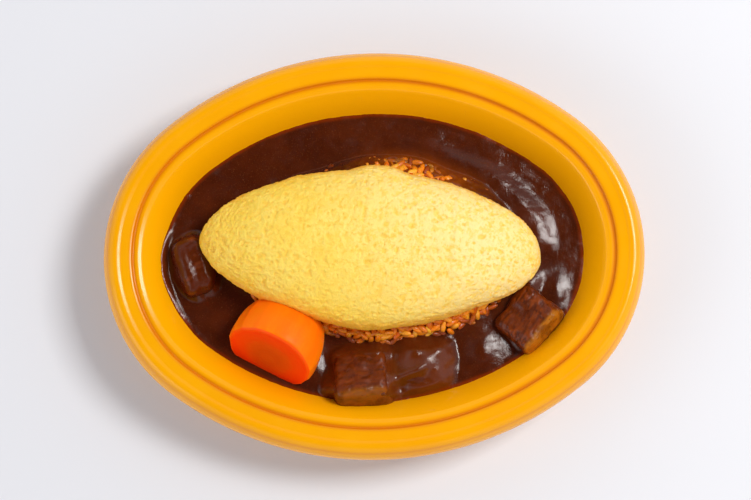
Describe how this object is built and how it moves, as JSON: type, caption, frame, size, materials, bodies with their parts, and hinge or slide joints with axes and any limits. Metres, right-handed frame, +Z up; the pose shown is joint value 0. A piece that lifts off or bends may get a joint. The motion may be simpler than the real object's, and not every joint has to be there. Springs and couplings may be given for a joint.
{
  "type": "omurice in an oval dish",
  "caption": "Omurice: a plump omelette on tomato rice in brown sauce with braised beef and carrot, served in a yellow oval dish.",
  "frame": {"origin": "on the table under the middle of the dish, at the centre of the bounding box's base", "axes": "+X along the dish's length to the omelette's right tip, +Z up, -Y towards the side with the carrot"},
  "size_m": [0.26, 0.1968, 0.064],
  "materials": {
    "dish_glaze": "glossy orange-yellow glaze",
    "brown_sauce": null,
    "tomato_rice": null,
    "egg": null,
    "carrot": null,
    "beef": null
  },
  "bodies": {
    "root": {"dish": "dish_glaze", "sauce": "brown_sauce", "rice": "tomato_rice", "omelette": "egg", "carrot": "carrot", "beef_left": "beef", "beef_front": "beef", "beef_front_small": "beef", "beef_right": "beef"}
  },
  "joints": []
}
